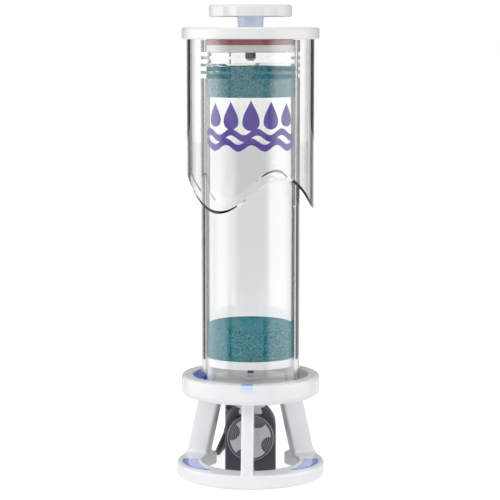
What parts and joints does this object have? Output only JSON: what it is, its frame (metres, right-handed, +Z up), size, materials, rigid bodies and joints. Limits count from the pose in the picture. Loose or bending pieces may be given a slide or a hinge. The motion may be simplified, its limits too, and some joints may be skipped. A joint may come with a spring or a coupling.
{
  "type": "fluidised media reactor",
  "caption": "Clear upright filter tube with sponges, a knobbed lid and a wavy drip sleeve, on a legged dock holding a small submersible pump with its cord.",
  "frame": {"origin": "on the floor under the tube's axis", "axes": "+Z up along the tube, -Y towards the front, +X to the right"},
  "size_m": [0.1512, 0.3036, 0.478],
  "materials": {
    "white_plastic": "gloss moulded white",
    "adaptor_plastic": "satin natural white",
    "clear_acrylic": "polished clear acrylic",
    "blue_clear": "translucent blue",
    "teal_foam": "open-cell filter foam",
    "red_silicone": "soft silicone",
    "grey_rubber": "soft black rubber",
    "pump_plastic": "satin dark grey",
    "dial_plastic": "satin light grey",
    "shaft_ceramic": "polished",
    "magnet": "sintered ferrite",
    "cord_rubber": "satin black sheath",
    "tie_plastic": "hook and loop strap",
    "plug_rubber": "moulded black",
    "pin_brass": "nickel plated",
    "label_print": "printed clear film",
    "screw_nylon": "nylon"
  },
  "bodies": {
    "dock": {"foot_ring": "white_plastic", "left_foot_insert": "blue_clear", "right_foot_insert": "blue_clear", "rubber_feet": "grey_rubber", "front_leg": "white_plastic", "left_leg": "white_plastic", "right_leg": "white_plastic", "dock_ring": "white_plastic", "alignment_key": "blue_clear", "lock_tab": "blue_clear", "dock_gasket": "grey_rubber", "pump_cover": "pump_plastic", "inlet_grille": "pump_plastic", "pump_housing": "pump_plastic", "pump_seal": "grey_rubber", "impeller_shaft": "shaft_ceramic", "rear_bush": "grey_rubber", "outlet_adaptor": "adaptor_plastic", "power_cord": "cord_rubber", "plug_lead": "cord_rubber", "cable_gland": "cord_rubber", "cord_hank": "cord_rubber", "cord_tie": "tie_plastic", "mains_plug": "plug_rubber", "plug_pins": "pin_brass"},
    "impeller": {"rotor_magnet": "magnet", "impeller": "dial_plastic"},
    "flow_dial": {"flow_dial": "dial_plastic", "flow_shutter": "pump_plastic"},
    "reactor": {"media_tube": "clear_acrylic", "tube_base": "adaptor_plastic", "diffuser_plate": "adaptor_plastic", "lower_sponge": "teal_foam", "upper_sponge": "teal_foam", "label_film": "label_print"},
    "check_valve": {"valve_disc": "grey_rubber", "valve_stem": "dial_plastic"},
    "lid": {"lid": "white_plastic", "lid_spigot": "adaptor_plastic", "lid_seal": "red_silicone", "drip_sleeve": "clear_acrylic"},
    "knob": {"knob": "white_plastic", "knob_stem": "blue_clear", "clamp_screw": "screw_nylon"},
    "clamp": {"clamp_plate": "adaptor_plastic", "clamp_nut": "pump_plastic"}
  },
  "joints": [
    {"name": "reactor_lift", "type": "slide", "parent": "dock", "child": "reactor", "axis": [0, 0, 1], "range_m": [0, 0.06]},
    {"name": "lid_lift", "type": "slide", "parent": "reactor", "child": "lid", "axis": [0, 0, 1], "range_m": [0, 0.06]},
    {"name": "knob_turn", "type": "hinge", "parent": "lid", "child": "knob", "pos_m": [0, 0, 0.472], "axis": [0, 0, 1], "range_deg": [0, 360]},
    {"name": "clamp_travel", "type": "slide", "parent": "lid", "child": "clamp", "axis": [0, 0, -1], "range_m": [0, 0.0015]},
    {"name": "flow_dial_turn", "type": "hinge", "parent": "dock", "child": "flow_dial", "pos_m": [0, -0.0226, 0.0415], "axis": [0, -1, 0], "range_deg": [-45, 45]},
    {"name": "impeller_spin", "type": "hinge", "parent": "dock", "child": "impeller", "pos_m": [0, 0, 0.0415], "axis": [0, -1, 0], "continuous": true},
    {"name": "valve_lift", "type": "slide", "parent": "reactor", "child": "check_valve", "axis": [0, 0, 1], "range_m": [0, 0.006]}
  ],
  "couplings": [
    {"joint": "clamp_travel", "follows": "knob_turn", "m_per_rad": 0.00023873}
  ]
}
